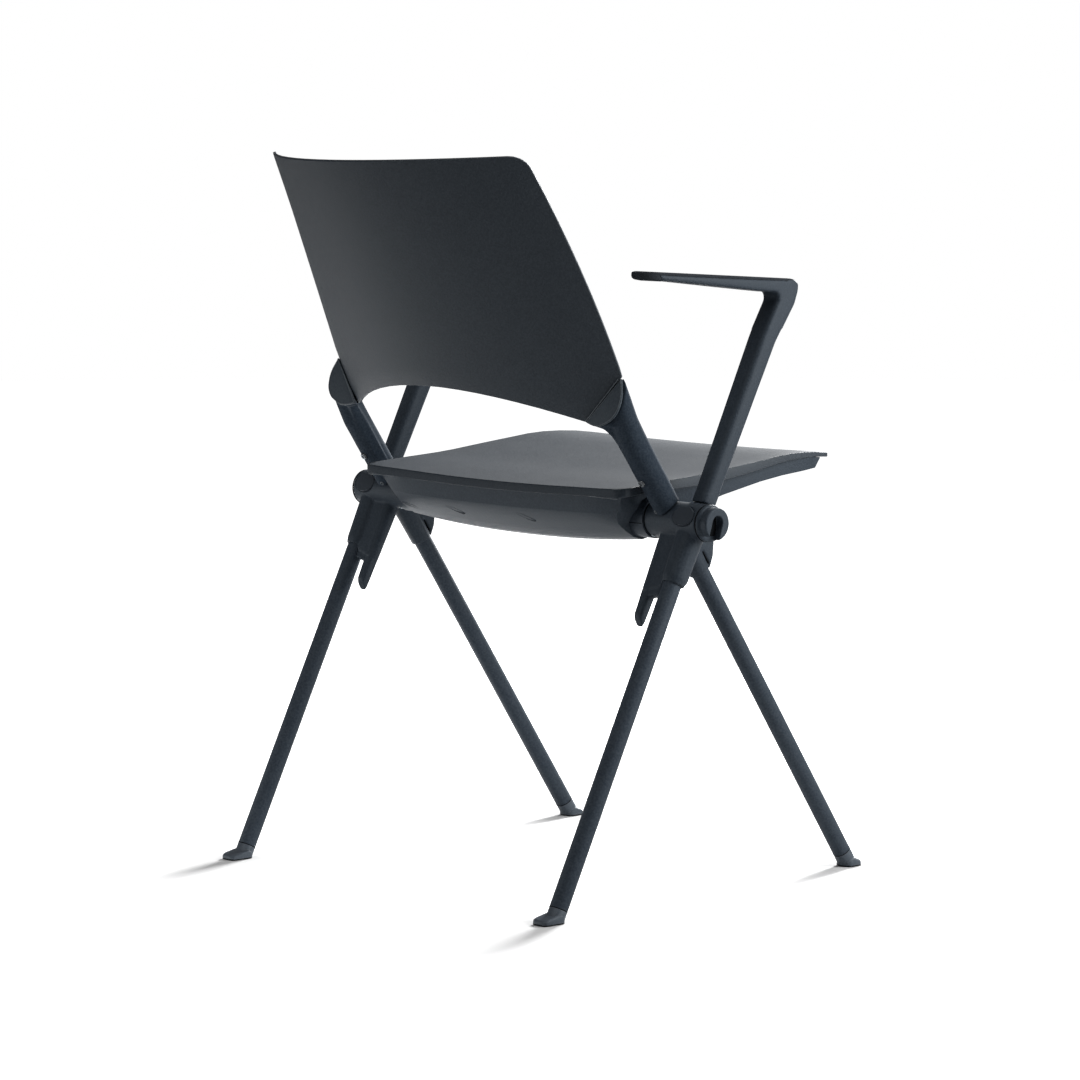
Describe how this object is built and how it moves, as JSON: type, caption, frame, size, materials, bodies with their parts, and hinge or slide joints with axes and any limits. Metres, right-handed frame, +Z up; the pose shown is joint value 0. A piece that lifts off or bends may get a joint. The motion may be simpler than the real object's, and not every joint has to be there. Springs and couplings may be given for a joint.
{
  "type": "linkable stacking armchair",
  "caption": "Four-legged plastic armchair on crossed steel tube legs, with an open curved back, side hubs, armrests and a link ring that joins chairs into a row.",
  "frame": {"origin": "centre of the bounding box's underside, on the floor between the feet", "axes": "+Z up, the sitter faces -Y, +X to the sitter's left; the link ring is on the -X side"},
  "size_m": [0.5908, 0.5644, 0.7896],
  "materials": {
    "shell_plastic": "fine-grained anthracite",
    "frame_plastic": "fine-grained anthracite",
    "leg_coat": "textured anthracite powder coat",
    "pad_black": "soft near-black",
    "foot_plastic": "matte anthracite",
    "beam_coat": "satin anthracite powder coat"
  },
  "bodies": {
    "root": {"arm_frame_left": "frame_plastic", "arm_frame_right": "frame_plastic", "arm_pad_left": "pad_black", "arm_pad_right": "pad_black", "back_corner_cap_left": "shell_plastic", "back_corner_cap_right": "shell_plastic", "back_shell": "shell_plastic", "back_upright_left": "frame_plastic", "back_upright_right": "frame_plastic", "cross_beam": "beam_coat", "front_foot_left": "foot_plastic", "front_foot_right": "foot_plastic", "front_leg_left": "leg_coat", "front_leg_right": "leg_coat", "hub_left": "frame_plastic", "hub_plug_left": "pad_black", "hub_plug_right": "pad_black", "hub_right": "frame_plastic", "link_socket": "frame_plastic", "link_stud": "frame_plastic", "rear_foot_left": "foot_plastic", "rear_foot_right": "foot_plastic", "rear_leg_left": "leg_coat", "rear_leg_right": "leg_coat", "seat_pan": "frame_plastic", "seat_shell": "shell_plastic"}
  },
  "joints": []
}
